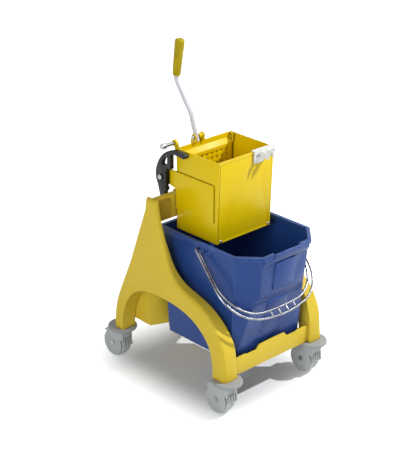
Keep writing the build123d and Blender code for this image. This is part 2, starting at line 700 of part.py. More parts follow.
ear_round = 13.0
plate_low = 489.0
plate_high = 593.0
plate_front = -94.0
plate_rear = 48.0
plate_lift = 1.8
for side, sign in (("left", -1), ("right", 1)):
    with BuildPart() as side_plate:
        with BuildSketch(Plane.YZ.offset(sign * casing_half)):
            with Locations(((plate_front + plate_rear) / 2, (plate_low + plate_high) / 2)):
                Rectangle(plate_rear - plate_front, plate_high - plate_low)
            if side == "left":
                # ear behind the casing for the arm's bolt
                with BuildLine():
                    Polyline(
                        (plate_rear, 545), (68, 548), (arm_axis_y, arm_axis_z - ear_round),
                        (arm_axis_y, arm_axis_z + ear_round), (70, plate_high), (plate_rear, plate_high), close=True,
                    )
                make_face()
                with Locations((arm_axis_y, arm_axis_z)):
                    Circle(ear_round)
                    Circle(arm_bolt_radius, mode=Mode.SUBTRACT)
        extrude(amount=sign * plate_thick)
        outer_face = side_plate.faces().sort_by(Axis.X)[-1 if sign > 0 else 0]
        step_edges = outer_face.edges().filter_by(lambda e: e.center().Y < plate_rear - 1 and e.center().Y > plate_front - 1)
        chamfer(step_edges, length=1)
        # the border stands clear of the casing
        with BuildSketch(Plane.YZ.offset(sign * casing_half)):
            with Locations(((plate_front + plate_rear) / 2, (plate_low + plate_high) / 2)):
                Rectangle(plate_rear - plate_front, plate_high - plate_low)
            with Locations(((plate_front + plate_rear) / 2 + 4, (plate_low + plate_high) / 2)):
                Rectangle(plate_rear - plate_front, plate_high - plate_low - 8, mode=Mode.SUBTRACT)
        extrude(amount=sign * plate_lift, mode=Mode.SUBTRACT)
    side_plate.part.label = f"wringer_side_plate_{side}"
    export_step(side_plate.part, f"parts/wringer_side_plate_{side}.step")

    # hook over the crossbar, welded to the rear wall
    with BuildPart() as hook:
        with BuildSketch(Plane.YZ.offset(sign * 42)):
            with BuildLine():
                Polyline(
                    (casing_rear, beam_top - 36), (casing_rear + 3, beam_top - 36), (casing_rear + 3, beam_top + 0.3),
                    (beam_rear + 1, beam_top + 0.3), (beam_rear + 1, beam_top - 20), (beam_rear + 4, beam_top - 20),
                    (beam_rear + 4, beam_top + 3.3), (casing_rear, beam_top + 3.3), close=True,
                )
            make_face()
        extrude(amount=sign * 44)
        outer_bend = hook.edges().filter_by(Axis.X).sort_by(lambda e: e.center().Y + e.center().Z)[-1]
        fillet(outer_bend, radius=2.5)
    hook.part.label = f"wringer_hook_{side}"
    export_step(hook.part, f"parts/wringer_hook_{side}.step")

    with BuildPart() as hinge_pin:
        with BuildSketch(Plane.YZ.offset(sign * (jaw_half - 4))):
            with Locations((jaw_axis_y, jaw_axis_z)):
                Circle(hinge_pin_radius)
        extrude(amount=sign * (casing_half - jaw_half + 4))
        with BuildSketch(Plane.YZ.offset(sign * casing_half)):
            with Locations((jaw_axis_y, jaw_axis_z)):
                Circle(7)
        extrude(amount=sign * 2.2)
    hinge_pin.part.label = f"jaw_hinge_pin_{side}"
    export_step(hinge_pin.part, f"parts/jaw_hinge_pin_{side}.step")

with BuildPart() as guide_pin:
    with BuildSketch(Plane.YZ.offset(-135)):
        with Locations((ring_y, ring_z)):
            Circle(guide_radius)
    extrude(amount=135 - casing_half + sheet)
    with BuildSketch(Plane.YZ.offset(-148)):
        with Locations((ring_y, ring_z)):
            Circle(7.5)
    extrude(amount=14)
    fillet(guide_pin.edges().filter_by(GeomType.CIRCLE).sort_by(Axis.X)[0], radius=2.5)
guide_pin.part.label = "wringer_guide_pin"
export_step(guide_pin.part, "parts/wringer_guide_pin.step")

# ---- mop-handle clip -----------------------------------------------------------------
clip_x = casing_half - 40
clip_y = -130.0
clip_bore = 11.0
clip_wall = 4.5
clip_low = 641.0
clip_high = 657.0
clip_mouth = 16.0
with BuildPart() as mop_clip:
    # back plate against the sloping front, hooked over the top rail
    with BuildSketch(Plane.YZ.offset(casing_half - 74)):
        with BuildLine():
            Polyline(
                (front_y(627), 627), (front_y(casing_top), casing_top), (front_y(casing_top) + 9, casing_top),
                (front_y(casing_top) + 9, casing_top + 3.5), (front_y(casing_top) - 5, casing_top + 3.5),
                (front_y(627) - 5, 627), close=True,
            )
        make_face()
    extrude(amount=75)
    # cut away below the collar, so the plate is deep on one side only
    with Locations((clip_x + 22, -112, clip_low - 10)):
        Box(44, 40, 20, mode=Mode.SUBTRACT)
    # spring collar open to the front
    with BuildSketch(Plane.XY.offset(clip_low)):
        with Locations((clip_x, clip_y)):
            Circle(clip_bore + clip_wall)
        with Locations((clip_x, clip_y + clip_bore / 2 + 4)):
            Rectangle(2 * (clip_bore + clip_wall), clip_bore + 4)
        with Locations((clip_x, clip_y)):
            Circle(clip_bore, mode=Mode.SUBTRACT)
        with Locations((clip_x, clip_y - 20)):
            Rectangle(clip_mouth, 32, mode=Mode.SUBTRACT)
    extrude(amount=clip_high - clip_low)
    # the collar's foot is trimmed to the slope of the front
    with BuildSketch(Plane.YZ.offset(clip_x - 38)):
        with BuildLine():
            Polyline(
                (front_y(620), 620), (front_y(casing_top), casing_top), (-95, casing_top), (-95, 620), close=True,
            )
        make_face()
    extrude(amount=85, mode=Mode.SUBTRACT)
    with BuildSketch(Plane.XZ.offset(130)):
        with Locations(*[(x, screw_z) for x in clip_screw_x]):
            Circle(2)
    extrude(amount=-30, mode=Mode.SUBTRACT)
mop_clip.part.label = "mop_handle_clip"
export_step(mop_clip.part, "parts/mop_handle_clip.step")

with BuildPart() as clip_screws:
    head_y = front_y(screw_z) - 5.4
    for screw_x in clip_screw_x:
        with BuildSketch(Plane.XZ.offset(-head_y - 10)):
            with Locations((screw_x, screw_z)):
                Circle(2)
        extrude(amount=10)
        with BuildSketch(Plane.XZ.offset(-head_y)):
            with Locations((screw_x, screw_z)):
                Circle(4)
                Rectangle(5.5, 1, mode=Mode.SUBTRACT)
        extrude(amount=1.8)
        with BuildSketch(Plane.XZ.offset(-head_y)):
            with Locations((screw_x, screw_z)):
                Circle(4)
        extrude(amount=0.8)
clip_screws.part.label = "clip_screws"
export_step(clip_screws.part, "parts/clip_screws.step")

# ---- jaw with its lever ------------------------------------------------------------------
hole_pitch_x = 18.0
hole_pitch_z = 15.0
with BuildPart() as jaw:
    # pierced sheet, joggled back to a strip at the top
    with BuildSketch(Plane.YZ.offset(-jaw_half)):
        with BuildLine():
            Polyline(
                (jaw_plate_y, jaw_bottom), (jaw_plate_y, 629.8), (jaw_plate_y + 10, 642.8), (jaw_plate_y + 10, casing_top),
                (jaw_plate_y + 12, casing_top), (jaw_plate_y + 12, 642.1), (jaw_plate_y + 2, 629.1),
                (jaw_plate_y + 2, jaw_bottom), close=True,
            )
        make_face()
    extrude(amount=2 * jaw_half)
    with BuildSketch(Plane.XZ.offset(-jaw_plate_y - 5)):
        with Locations((0, 617 - 4 * hole_pitch_z)):
            with GridLocations(hole_pitch_x, hole_pitch_z, 9, 9):
                Circle(3)
    extrude(amount=10, mode=Mode.SUBTRACT)
    # folded sides, widened around the hinge
    for sign in (-1, 1):
        with BuildSketch(Plane.YZ.offset(sign * jaw_half)):
            with BuildLine():
                Polyline(
                    (jaw_plate_y, jaw_bottom), (jaw_plate_y + 8, jaw_bottom), (jaw_plate_y + 8, 620), (jaw_plate_y + 12, 632),
                    (jaw_plate_y + 12, casing_top - 1), (jaw_plate_y - 4, casing_top - 1), (jaw_plate_y - 4, 634),
                    (jaw_plate_y, 628), close=True,
                )
            make_face()
            with Locations((jaw_axis_y, jaw_axis_z)):
                Circle(hinge_pin_radius + hinge_clearance, mode=Mode.SUBTRACT)
        extrude(amount=sign * 2)
jaw.part.label = "jaw_plate"
export_step(jaw.part, "parts/jaw_plate.step")

bolt_y = 50.0
bolt_z = 671.0
lug_left = -37.0
lug_right = -5.0
lug_sheet = 3.0
with BuildPart() as lug:
    for plate_x in (lug_left, lug_right - lug_sheet):
        with BuildSketch(Plane.YZ.offset(plate_x)):
            with BuildLine():
                Polyline(
                    (jaw_plate_y + 12, 643), (bolt_y + 12, 643), (bolt_y + 12, 660), (bolt_y + 9, bolt_z), (bolt_y - 9, bolt_z),
                    (bolt_y - 9, casing_top + 0.2), (jaw_plate_y + 12, casing_top + 0.2), close=True,
                )
            make_face()
            with Locations((bolt_y, bolt_z)):
                Circle(9)
                Circle(3, mode=Mode.SUBTRACT)
        extrude(amount=lug_sheet)
    with Locations(((lug_left + lug_right) / 2, bolt_y + 10.5, 651.5)):
        Box(lug_right - lug_left, 3, 17)
    # spacer on the bolt between the lever and the right plate
    with BuildSketch(Plane.YZ.offset(lever_x + tube_radius)):
        with Locations((bolt_y, bolt_z)):
            Circle(6.5)
            Circle(3, mode=Mode.SUBTRACT)
    extrude(amount=lug_right - lug_sheet - lever_x - tube_radius)
lug.part.label = "lever_lug"
export_step(lug.part, "parts/lever_lug.step")

with BuildPart() as lever_bolt:
    with BuildSketch(Plane.YZ.offset(lug_left)):
        with Locations((bolt_y, bolt_z)):
            Circle(3)
    extrude(amount=lug_right - lug_left + 7)
    with BuildSketch(Plane.YZ.offset(lug_left)):
        with Locations((bolt_y, bolt_z)):
            RegularPolygon(5.5, 6)
    extrude(amount=-4)
lever_bolt.part.label = "lever_bolt"
export_step(lever_bolt.part, "parts/lever_bolt.step")

with BuildPart() as lever_nut:
    with BuildSketch(Plane.YZ.offset(lug_right)):
        with Locations((bolt_y, bolt_z)):
            RegularPolygon(5.5, 6)
            Circle(3, mode=Mode.SUBTRACT)
    extrude(amount=5)
lever_nut.part.label = "lever_nut"
export_step(lever_nut.part, "parts/lever_nut.step")

# lever: centre line in one upright plane, with two bends
lever_foot = (46.3, 659.5)
lever_bend_low = (71.0, 731.0)
grip_low = (126.2, 822.0)
grip_high = (111.5, 922.0)
grip_axis = Vector(0, grip_high[0] - grip_low[0], grip_high[1] - grip_low[1])
lever_bend_high = (grip_low[0] - 0.11 * grip_axis.Y, grip_low[1] - 0.11 * grip_axis.Z)
tube_end = (grip_low[0] + 0.9 * grip_axis.Y, grip_low[1] + 0.9 * grip_axis.Z)
with BuildPart() as tube:
    with BuildLine(Plane.YZ.offset(lever_x)) as lever_path:
        FilletPolyline(lever_foot, lever_bend_low, lever_bend_high, tube_end, radius=24)
    with BuildSketch(Plane(origin=lever_path.line @ 0, z_dir=lever_path.line % 0)):
        Circle(tube_radius)
        Circle(tube_radius - tube_wall, mode=Mode.SUBTRACT)
    sweep(path=lever_path.line)
    with BuildSketch(Plane.YZ.offset(lever_x - 10)):
        with Locations((bolt_y, bolt_z)):
            Circle(3)
    extrude(amount=20, mode=Mode.SUBTRACT)
tube.part.label = "lever_tube"
export_step(tube.part, "parts/lever_tube.step")

grip_plane = Plane(origin=(lever_x, grip_low[0], grip_low[1]), x_dir=(1, 0, 0), z_dir=grip_axis)
grip_length = grip_axis.length
with BuildPart() as grip:
    with BuildSketch(grip_plane):
        Circle(10.5)
    with BuildSketch(grip_plane.offset(grip_length)):
        Circle(13)
    loft()
    fillet(grip.edges().filter_by(GeomType.CIRCLE).sort_by(Axis.Z)[-1], radius=6)
    fillet(grip.edges().filter_by(GeomType.CIRCLE).sort_by(Axis.Z)[0], radius=1.5)
    with BuildSketch(grip_plane):
        Circle(tube_radius)
    extrude(amount=0.9 * grip_length, mode=Mode.SUBTRACT)
grip.part.label = "lever_grip"
export_step(grip.part, "parts/lever_grip.step")

# ---- side arms ---------------------------------------------------------------------------
with BuildSketch(Plane.YZ, mode=Mode.PRIVATE) as arm_face:
    with BuildLine():
        Polyline((94, 508), (104, 542), (111, 560))
        Spline((111, 560), (113, 577), (104, 608), (84, 635), (56.5, 652), (36, 656), (6, 655))
        ThreePointArc((6, 655), (-2, 648.5), (6, 643))
        Polyline((6, 643), (37, 645), (54, 643), (54, 600), (71, 600), (71, 540), (78, 528), (78, 508), (94, 508))
    make_face()
    # window between the hub and the bow
    with BuildLine():
        Polyline((67, 606), (88, 606))
        Spline((88, 606), (84, 618), (76, 630), (67, 639))
        Line((67, 639), (67, 606))
    make_face(mode=Mode.SUBTRACT)
    # scalloped front edge of the hub
    with Locations(*[(70, z) for z in (548, 560, 572, 584)]):
        Circle(4.5, mode=Mode.SUBTRACT)
    with Locations((arm_axis_y, arm_axis_z)):
        Circle(arm_bolt_radius + hinge_clearance, mode=Mode.SUBTRACT)

with BuildPart() as arm:
    extrude(arm_face.sketch.moved(Location((-arm_inner_x, 0, 0))), amount=arm_thick, dir=(-1, 0, 0))
arm.part.label = "side_arm_left"
export_step(arm.part, "parts/side_arm_left.step")

bolt_head_x = arm_inner_x + arm_thick + 0.4
with BuildPart() as arm_bolt:
    with BuildSketch(Plane.YZ.offset(3 - casing_half)):
        with Locations((arm_axis_y, arm_axis_z)):
            Circle(arm_bolt_radius)
    extrude(amount=casing_half - 3 - bolt_head_x)
    with BuildSketch(Plane.YZ.offset(-bolt_head_x)):
        with Locations((arm_axis_y, arm_axis_z)):
            RegularPolygon(7.5, 6)
    extrude(amount=-5)
    # spacer washer outside the ear and nut inside it
    with BuildSketch(Plane.YZ.offset(-casing_half - plate_thick)):
        with Locations((arm_axis_y, arm_axis_z)):
            Circle(8)
    extrude(amount=casing_half + plate_thick + 0.4 - arm_inner_x)
    with BuildSketch(Plane.YZ.offset(-casing_half)):
        with Locations((arm_axis_y, arm_axis_z)):
            RegularPolygon(7.5, 6)
    extrude(amount=5)
arm_bolt.part.label = "arm_bolt_left"
export_step(arm_bolt.part, "parts/arm_bolt_left.step")
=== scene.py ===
import bpy
from math import atan2, cos, radians, sin, sqrt, tau
from mathutils import Matrix, Vector


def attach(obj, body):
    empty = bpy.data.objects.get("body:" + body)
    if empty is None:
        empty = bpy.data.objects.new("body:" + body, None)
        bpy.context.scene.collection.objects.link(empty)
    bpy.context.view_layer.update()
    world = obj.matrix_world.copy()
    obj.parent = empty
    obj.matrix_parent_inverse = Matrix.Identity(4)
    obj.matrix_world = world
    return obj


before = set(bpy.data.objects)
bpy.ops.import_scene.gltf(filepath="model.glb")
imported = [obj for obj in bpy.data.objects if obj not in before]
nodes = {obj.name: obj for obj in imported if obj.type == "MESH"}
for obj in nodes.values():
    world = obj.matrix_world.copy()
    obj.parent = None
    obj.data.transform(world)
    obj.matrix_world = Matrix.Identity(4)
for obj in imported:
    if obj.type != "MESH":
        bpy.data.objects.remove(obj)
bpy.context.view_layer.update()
scene = bpy.context.scene
print("frame loaded,", len(nodes), "nodes")


def linearColor(red, green, blue):
    # 0-255 screen values to the linear values that the sockets take
    out = []
    for level in (red, green, blue):
        level = level / 255
        out.append(level / 12.92 if level <= 0.04045 else ((level + 0.055) / 1.055) ** 2.4)
    return (*out, 1.0)


def addNode(tree, kind, **values):
    node = tree.nodes.new(kind)
    for key, value in values.items():
        setattr(node, key, value)
    return node


def setInputs(node, **values):
    for label, value in values.items():
        node.inputs[label].default_value = value
    return node


def groupTree(name, inputs, outputs):
    # an empty shader group with named sockets, and its first and last nodes
    tree = bpy.data.node_groups.new(name, "ShaderNodeTree")
    for label, kind, value in inputs:
        tree.interface.new_socket(name=label, in_out="INPUT", socket_type=kind).default_value = value
    for label, kind in outputs:
        tree.interface.new_socket(name=label, in_out="OUTPUT", socket_type=kind)
    return tree, addNode(tree, "NodeGroupInput"), addNode(tree, "NodeGroupOutput")


def times(tree, first, second):
    product = addNode(tree, "ShaderNodeMath", operation="MULTIPLY")
    tree.links.new(first, product.inputs[0])
    tree.links.new(second, product.inputs[1])
    return product.outputs[0]


def noisePatches(tree, vector, scale, spec):
    # 0 where the noise is below start, 1 where it is past full
    noise = addNode(tree, "ShaderNodeTexNoise")
    setInputs(noise, Detail=spec["detail"], Roughness=spec["roughness"])
    ramp = addNode(tree, "ShaderNodeMapRange")
    setInputs(ramp, **{"From Min": spec["start"], "From Max": spec["full"]})
    tree.links.new(vector, noise.inputs["Vector"])
    tree.links.new(scale, noise.inputs["Scale"])
    tree.links.new(noise.outputs["Fac"], ramp.inputs["Value"])
    return ramp.outputs["Result"]


driftPatches = dict(detail=5, roughness=0.62, start=0.35, full=0.68)


def makeToneDrift():
    # slow change of tone over a moulding, a painted sheet or a plated part; on the chrome wire its
    # near-black second tone paints dark reflections
    tree, gin, gout = groupTree(
        "toneDrift",
        [("Color", "NodeSocketColor", (1, 1, 1, 1)), ("Second Color", "NodeSocketColor", (1, 1, 1, 1)),
         ("Scale", "NodeSocketFloat", 9.0), ("Amount", "NodeSocketFloat", 0.5)],
        [("Color", "NodeSocketColor"), ("Mask", "NodeSocketFloat")],
    )
    coords = addNode(tree, "ShaderNodeTexCoord")
    mix = addNode(tree, "ShaderNodeMix", data_type="RGBA")
    drifted = noisePatches(tree, coords.outputs["Object"], gin.outputs["Scale"], driftPatches)
    mask = times(tree, drifted, gin.outputs["Amount"])
    links = tree.links
    links.new(mask, mix.inputs["Factor"])
    links.new(gin.outputs["Color"], mix.inputs["A"])
    links.new(gin.outputs["Second Color"], mix.inputs["B"])
    links.new(mix.outputs["Result"], gout.inputs["Color"])
    links.new(mask, gout.inputs["Mask"])
    return tree


grainNoise = dict(detail=3, cellShare=0.45)  # cellShare: scale of the coarse cells over that of the noise


def makeFineGrain():
    # moulded grain or the peel of a powder coat, as a height
    tree, gin, gout = groupTree(
        "fineGrain",
        [("Scale", "NodeSocketFloat", 900.0), ("Coarse", "NodeSocketFloat", 0.4)],
        [("Height", "NodeSocketFloat")],
    )
    coords = addNode(tree, "ShaderNodeTexCoord")
    fine = setInputs(addNode(tree, "ShaderNodeTexNoise"), Detail=grainNoise["detail"])
    cells = addNode(tree, "ShaderNodeTexVoronoi", feature="SMOOTH_F1")
    share = addNode(tree, "ShaderNodeMath", operation="MULTIPLY")
    share.inputs[1].default_value = grainNoise["cellShare"]
    mix = addNode(tree, "ShaderNodeMix", data_type="FLOAT")
    links = tree.links
    links.new(coords.outputs["Object"], fine.inputs["Vector"])
    links.new(coords.outputs["Object"], cells.inputs["Vector"])
    links.new(gin.outputs["Scale"], fine.inputs["Scale"])
    links.new(gin.outputs["Scale"], share.inputs[0])
    links.new(share.outputs[0], cells.inputs["Scale"])
    links.new(gin.outputs["Coarse"], mix.inputs["Factor"])
    links.new(fine.outputs["Fac"], mix.inputs["A"])
    links.new(cells.outputs["Distance"], mix.inputs["B"])
    links.new(mix.outputs["Result"], gout.inputs["Height"])
    return tree


scuffStreaks = dict(
    detail=7, roughness=0.7, start=0.58, full=0.74,
    squeeze=(1, 1, 3.2), turn=(0.5, 0.3, 0),  # turn in radians
    highShare=0.35,  # what is left of the streaks at the fade height
)


def makeScuff():
    # short rubbed streaks, stronger near the floor
    tree, gin, gout = groupTree(
        "scuff",
        [("Scale", "NodeSocketFloat", 26.0), ("Amount", "NodeSocketFloat", 0.3),
         ("Fade Height", "NodeSocketFloat", 0.5)],
        [("Mask", "NodeSocketFloat")],
    )
    coords = addNode(tree, "ShaderNodeTexCoord")
    mapping = addNode(tree, "ShaderNodeMapping")
    setInputs(mapping, Scale=scuffStreaks["squeeze"], Rotation=scuffStreaks["turn"])
    split = addNode(tree, "ShaderNodeSeparateXYZ")
    low = addNode(tree, "ShaderNodeMapRange")
    setInputs(low, **{"To Min": 1.0, "To Max": scuffStreaks["highShare"]})
    links = tree.links
    links.new(coords.outputs["Object"], mapping.inputs["Vector"])
    links.new(coords.outputs["Object"], split.inputs[0])
    links.new(split.outputs["Z"], low.inputs["Value"])
    links.new(gin.outputs["Fade Height"], low.inputs["From Max"])
    streaks = noisePatches(tree, mapping.outputs["Vector"], gin.outputs["Scale"], scuffStreaks)
    both = times(tree, streaks, low.outputs["Result"])
    links.new(times(tree, both, gin.outputs["Amount"]), gout.inputs["Mask"])
    return tree


# flat and sharp: how far the rounded normal agrees with the face, where the edge colour begins and is whole
edgeRubAndHighlight = dict(detail=6, roughness=0.7, start=0.40, full=0.62, samples=4, flat=0.985, sharp=0.80)


def makeEdgeWearAndHighlight():
    # edges and corners in another colour, broken up by noise: rubbed wear on most finishes, and a painted
    # highlight on the bucket's rim and the covers' border
    tree, gin, gout = groupTree(
        "edgeWearAndHighlight",
        [("Radius", "NodeSocketFloat", 0.002), ("Scale", "NodeSocketFloat", 60.0),
         ("Amount", "NodeSocketFloat", 0.5)],
        [("Mask", "NodeSocketFloat")],
    )
    coords = addNode(tree, "ShaderNodeTexCoord")
    rounded = addNode(tree, "ShaderNodeBevel", samples=edgeRubAndHighlight["samples"])
    facing = addNode(tree, "ShaderNodeNewGeometry")
    same = addNode(tree, "ShaderNodeVectorMath", operation="DOT_PRODUCT")
    edge = addNode(tree, "ShaderNodeMapRange")
    setInputs(edge, **{"From Min": edgeRubAndHighlight["flat"], "From Max": edgeRubAndHighlight["sharp"]})
    links = tree.links
    links.new(gin.outputs["Radius"], rounded.inputs["Radius"])
    links.new(rounded.outputs["Normal"], same.inputs[0])
    links.new(facing.outputs["Normal"], same.inputs[1])
    links.new(same.outputs["Value"], edge.inputs["Value"])
    patchesAlongEdges = noisePatches(tree, coords.outputs["Object"], gin.outputs["Scale"], edgeRubAndHighlight)
    both = times(tree, edge.outputs["Result"], patchesAlongEdges)
    links.new(times(tree, both, gin.outputs["Amount"]), gout.inputs["Mask"])
    return tree


# open and closed: the share of free air round a point where the shade begins and is whole
seamShade = dict(samples=8, open=0.85, closed=0.35)


def makeCreviceShade():
    # painted shade: darker where two faces meet in a corner or a seam, from ambient occlusion
    tree, gin, gout = groupTree(
        "creviceShade",
        [("Distance", "NodeSocketFloat", 0.005), ("Amount", "NodeSocketFloat", 0.7)],
        [("Mask", "NodeSocketFloat")],
    )
    around = addNode(tree, "ShaderNodeAmbientOcclusion", samples=seamShade["samples"])
    closed = addNode(tree, "ShaderNodeMapRange")
    setInputs(closed, **{"From Min": seamShade["open"], "From Max": seamShade["closed"]})
    links = tree.links
    links.new(gin.outputs["Distance"], around.inputs["Distance"])
    links.new(around.outputs["AO"], closed.inputs["Value"])
    links.new(times(tree, closed.outputs["Result"], gin.outputs["Amount"]), gout.inputs["Mask"])
    return tree


toneDrift = makeToneDrift()
fineGrain = makeFineGrain()
scuff = makeScuff()
edgeWearAndHighlight = makeEdgeWearAndHighlight()
creviceShade = makeCreviceShade()

# mouldings and painted steel: colours are screen values, drift is scale and amount, gloss is the
# specular level, rough goes from the first tone to the second, grain is scale, coarseness and depth,
# scuff is scale, amount and colour, edge is scale, amount, colour and radius of worn edges and of
# painted highlights, creviceShade is width, amount and colour of painted shade in corners and seams
finishes = {
    "frameYellow": dict(
        color=(221, 193, 58), second=(212, 182, 46), drift=(7, 0.6),
        gloss=0.24, rough=(0.46, 0.58), grain=(620, 0.5, 0.00012),
        scuff=(24, 0.25, (184, 160, 62)), edge=(50, 0.45, (240, 222, 112), 0.002),
        creviceShade=(0.007, 0.55, (128, 98, 34)),
    ),
    # a darker copy of the frame's yellow: painted shade over the crossbar covers, and its bright edge
    # colour a painted highlight along their border
    "shadedCoverYellow": dict(
        color=(176, 150, 48), second=(164, 138, 40), drift=(18, 0.6),
        gloss=0.24, rough=(0.44, 0.56), grain=(620, 0.5, 0.00012),
        scuff=(40, 0.3, (150, 128, 50)), edge=(50, 0.9, (232, 214, 110), 0.002),
        creviceShade=(0.007, 0.7, (92, 70, 22)),
    ),
    "wringerYellow": dict(
        color=(234, 203, 4), second=(224, 191, 2), drift=(6, 0.5),
        gloss=0.24, rough=(0.30, 0.40), grain=(420, 0.3, 0.00006),
        scuff=(30, 0.18, (176, 150, 30)), edge=(80, 0.55, (236, 224, 110), 0.002),
        creviceShade=(0.007, 1.0, (56, 38, 2)),
    ),
    "bucketBlue": dict(
        color=(37, 71, 137), second=(29, 59, 125), drift=(8, 0.6),
        gloss=0.24, rough=(0.34, 0.46), grain=(700, 0.4, 0.00008),
        # the edge colour here is a painted highlight along the rim and the creases
        scuff=(22, 0.16, (76, 98, 156)), edge=(30, 1.0, (108, 134, 208), 0.0045),
        creviceShade=(0.010, 0.7, (10, 20, 56)),
    ),
    "armBlack": dict(
        color=(15, 15, 17), second=(10, 10, 12), drift=(20, 0.6),
        gloss=0.3, rough=(0.36, 0.50), grain=(800, 0.4, 0.00008),
        scuff=(60, 0.3, (58, 58, 62)), edge=(90, 0.5, (70, 70, 74), 0.002),
        creviceShade=(0.005, 0.6, (6, 6, 8)),
    ),
    "clipWhite": dict(
        color=(236, 236, 232), second=(226, 227, 223), drift=(30, 0.5),
        gloss=0.4, rough=(0.30, 0.42), grain=(900, 0.3, 0.00005),
        scuff=(60, 0.2, (200, 200, 196)), edge=(120, 0.3, (206, 206, 202), 0.002),
        creviceShade=(0.004, 0.5, (120, 120, 110)),
    ),
    "gripYellow": dict(
        color=(186, 164, 6), second=(156, 134, 2), drift=(34, 0.9),
        gloss=0.15, rough=(0.40, 0.52), grain=(650, 0.6, 0.00014),
        scuff=(60, 0.3, (140, 116, 24)), edge=(90, 0.4, (214, 192, 70), 0.002),
        creviceShade=(0.003, 0.7, (110, 84, 2)),
    ),
    "leverGrey": dict(
        color=(214, 215, 220), second=(198, 200, 206), drift=(24, 0.6),
        gloss=0.5, rough=(0.28, 0.40), grain=(500, 0.3, 0.00005),
        scuff=(50, 0.3, (160, 162, 168)), edge=(90, 0.3, (170, 172, 176), 0.002),
        creviceShade=(0.004, 0.5, (90, 92, 98)),
    ),
    "discGrey": dict(
        color=(162, 164, 165), second=(144, 146, 148), drift=(26, 0.6),
        gloss=0.3, rough=(0.62, 0.75), grain=(700, 0.5, 0.00012),
        scuff=(50, 0.4, (140, 141, 138)), edge=(90, 0.4, (214, 213, 210), 0.002),
        creviceShade=(0.005, 0.6, (110, 108, 100)),
    ),
    "casterGrey": dict(
        color=(182, 187, 186), second=(166, 172, 172), drift=(30, 0.6),
        gloss=0.35, rough=(0.44, 0.56), grain=(800, 0.4, 0.00009),
        scuff=(55, 0.4, (120, 125, 124)), edge=(100, 0.5, (206, 210, 208), 0.002),
        creviceShade=(0.005, 0.7, (70, 74, 74)),
    ),
    "tyreGrey": dict(
        color=(206, 209, 208), second=(186, 190, 189), drift=(40, 0.7),
        gloss=0.2, rough=(0.68, 0.82), grain=(900, 0.5, 0.00012),
        scuff=(70, 0.6, (128, 130, 127)), edge=(90, 0.4, (150, 152, 150), 0.002),
        creviceShade=(0.004, 0.6, (90, 92, 90)),
    ),
}

# plated metals, with drift, rough and grain as above
metals = {
    "chromeWire": dict(
        # the near-black second tone, blended in at full amount, paints dark reflections along the wires
        color=(158, 160, 165), second=(76, 78, 84), drift=(26, 1.0),
        rough=(0.17, 0.27), grain=(400, 0.4, 0.00001),
    ),
    "zincSteel": dict(
        color=(178, 179, 181), second=(140, 142, 145), drift=(120, 0.8),
        rough=(0.28, 0.44), grain=(900, 0.4, 0.00006),
    ),
}
grainStrength = dict(moulding=0.6, metal=0.4)


def blendOver(tree, under, mask, color):
    # a plain colour over the one that comes from the socket under, as far as the mask says
    mix = addNode(tree, "ShaderNodeMix", data_type="RGBA")
    mix.inputs["B"].default_value = linearColor(*color)
    tree.links.new(under, mix.inputs["A"])
    tree.links.new(mask, mix.inputs["Factor"])
    return mix.outputs["Result"]


def tonedMaterial(name, spec, strength):
    # tone and roughness that drift over a fine grain; the tone's socket is left for the caller
    material = bpy.data.materials.new(name)
    material.use_nodes = True
    tree = material.node_tree
    shader = tree.nodes["Principled BSDF"]
    driftScale, driftAmount = spec["drift"]
    roughFirst, roughSecond = spec["rough"]
    grainScale, coarseness, depth = spec["grain"]
    drift = addNode(tree, "ShaderNodeGroup", node_tree=toneDrift)
    setInputs(drift, **{
        "Color": linearColor(*spec["color"]), "Second Color": linearColor(*spec["second"]),
        "Scale": driftScale, "Amount": driftAmount,
    })
    rough = setInputs(addNode(tree, "ShaderNodeMapRange"), **{"To Min": roughFirst, "To Max": roughSecond})
    grain = addNode(tree, "ShaderNodeGroup", node_tree=fineGrain)
    setInputs(grain, Scale=grainScale, Coarse=coarseness)
    bump = setInputs(addNode(tree, "ShaderNodeBump"), Distance=depth, Strength=strength)
    links = tree.links
    links.new(drift.outputs["Mask"], rough.inputs["Value"])
    links.new(rough.outputs["Result"], shader.inputs["Roughness"])
    links.new(grain.outputs["Height"], bump.inputs["Height"])
    links.new(bump.outputs["Normal"], shader.inputs["Normal"])
    return material, shader, drift.outputs["Color"]


def paintedOrMoulded(name, spec):
    material, shader, tone = tonedMaterial(name, spec, grainStrength["moulding"])
    setInputs(shader, **{"Specular IOR Level": spec["gloss"]})
    tree = material.node_tree
    scuffScale, scuffAmount, scuffColor = spec["scuff"]
    edgeScale, edgeAmount, edgeColor, edgeRadius = spec["edge"]
    shadeWidth, shadeAmount, shadeColor = spec["creviceShade"]
    rub = addNode(tree, "ShaderNodeGroup", node_tree=scuff)
    setInputs(rub, Scale=scuffScale, Amount=scuffAmount)
    # edge colour: rubbed wear, and a painted highlight on the bucket's rim and the covers' border
    edge = addNode(tree, "ShaderNodeGroup", node_tree=edgeWearAndHighlight)
    setInputs(edge, Scale=edgeScale, Amount=edgeAmount, Radius=edgeRadius)
    # painted shade that darkens corners and seams, from ambient occlusion
    paintedShade = addNode(tree, "ShaderNodeGroup", node_tree=creviceShade)
    setInputs(paintedShade, Distance=shadeWidth, Amount=shadeAmount)
    rubbed = blendOver(tree, tone, rub.outputs["Mask"], scuffColor)
    wornAndHighlit = blendOver(tree, rubbed, edge.outputs["Mask"], edgeColor)
    shaded = blendOver(tree, wornAndHighlit, paintedShade.outputs["Mask"], shadeColor)
    tree.links.new(shaded, shader.inputs["Base Color"])
    return material


def platedMetal(name, spec):
    material, shader, tone = tonedMaterial(name, spec, grainStrength["metal"])
    setInputs(shader, Metallic=1.0)
    material.node_tree.links.new(tone, shader.inputs["Base Color"])
    return material


finish = {name: paintedOrMoulded(name, spec) for name, spec in finishes.items()}
finish.update({name: platedMetal(name, spec) for name, spec in metals.items()})
print("finishes made:", len(finish))

# a bend past crease degrees is shaded sharp, and one past rounded degrees gets a rounded edge
bends = dict(crease=32, rounded=38, segments=2, mergeWithin=0.00002)


